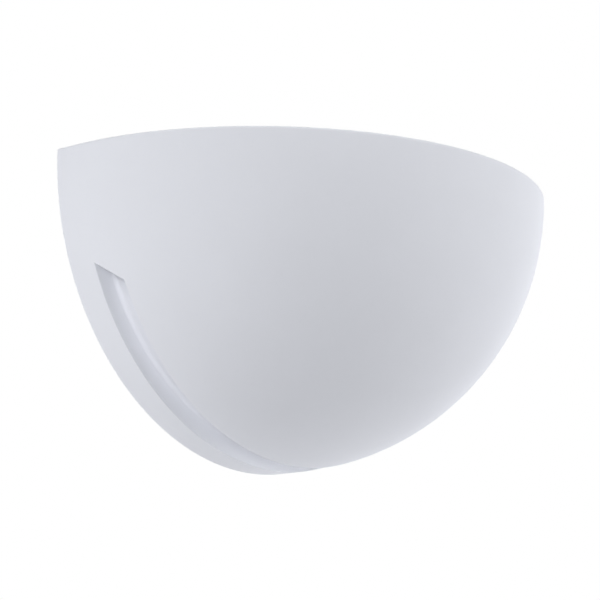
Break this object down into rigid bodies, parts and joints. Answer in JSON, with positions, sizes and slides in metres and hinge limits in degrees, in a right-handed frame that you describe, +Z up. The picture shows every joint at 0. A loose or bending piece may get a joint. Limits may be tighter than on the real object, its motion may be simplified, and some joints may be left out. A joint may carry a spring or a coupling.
{
  "type": "uplighter wall sconce",
  "caption": "Quarter-sphere plaster wall uplighter, open at the top, with a slanted-end channel round its back; it lifts off a steel bracket that carries a screw lampholder and lamp.",
  "frame": {"origin": "middle of the two wall fixing slots, on the wall's surface", "axes": "+Z up, +Y into the wall, +X to the right when facing the wall; the bowl stands out towards -Y"},
  "size_m": [0.3, 0.167, 0.1515],
  "materials": {
    "plaster": "matt white cast plaster with fine pores",
    "bracket_paint": "white powder coat, fine texture",
    "zinc_steel": "bright zinc plate",
    "brass": "plain turned brass",
    "nickel": "nickel plate",
    "porcelain": "white glazed porcelain",
    "lamp_housing": "white moulded plastic",
    "opal_plastic": "opal diffuser",
    "black_insulator": "black moulded insulator",
    "board": "white coated aluminium board",
    "black_rubber": "soft black rubber",
    "terminal_plastic": "off-white polyamide",
    "live_insulation": "brown silicone insulation",
    "neutral_insulation": "blue silicone insulation",
    "earth_insulation": "green and yellow insulation"
  },
  "bodies": {
    "bracket": {"wall_bracket": "bracket_paint", "hanging_studs": "zinc_steel", "lampholder_arm": "bracket_paint", "arm_screws": "zinc_steel", "arm_nuts": "zinc_steel", "nipple": "brass", "nipple_nut": "zinc_steel", "holder_cap": "porcelain", "contact_block": "porcelain", "holder_terminal_screws": "brass", "screw_shell": "nickel", "centre_contact": "brass", "holder_skirt": "porcelain", "cable_grommet": "black_rubber", "terminal_block": "terminal_plastic", "terminal_sleeves": "brass", "terminal_screws": "zinc_steel", "block_screws": "zinc_steel", "earth_screw": "brass", "earth_washer": "zinc_steel", "earth_tag": "nickel", "earth_nut": "zinc_steel", "live_wire": "live_insulation", "neutral_wire": "neutral_insulation", "earth_wire": "earth_insulation"},
    "bowl": {"bowl_shell": "plaster", "hanger_inserts": "brass", "left_hanger": "zinc_steel", "right_hanger": "zinc_steel", "hanger_screws": "zinc_steel"},
    "left_lock": {"left_thumb_screw": "nickel"},
    "right_lock": {"right_thumb_screw": "nickel"},
    "lamp": {"lamp_tip": "nickel", "lamp_insulator": "black_insulator", "lamp_screw_cap": "nickel", "lamp_body": "lamp_housing", "led_board": "board", "lamp_globe": "opal_plastic"}
  },
  "joints": [
    {"name": "bowl_lift", "type": "slide", "parent": "bracket", "child": "bowl", "axis": [0, 0, 1], "range_m": [0, 0.014]},
    {"name": "left_lock_turn", "type": "hinge", "parent": "bracket", "child": "left_lock", "pos_m": [-0.0977, -0.018, 0.01], "axis": [-1, 0, 0], "range_deg": [0, 1080]},
    {"name": "right_lock_turn", "type": "hinge", "parent": "bracket", "child": "right_lock", "pos_m": [0.0977, -0.018, 0.01], "axis": [1, 0, 0], "range_deg": [0, 1080]},
    {"name": "lamp_turn", "type": "hinge", "parent": "bracket", "child": "lamp", "pos_m": [0, -0.07, 0.005], "axis": [1, 0, 0], "range_deg": [0, 1440]}
  ]
}
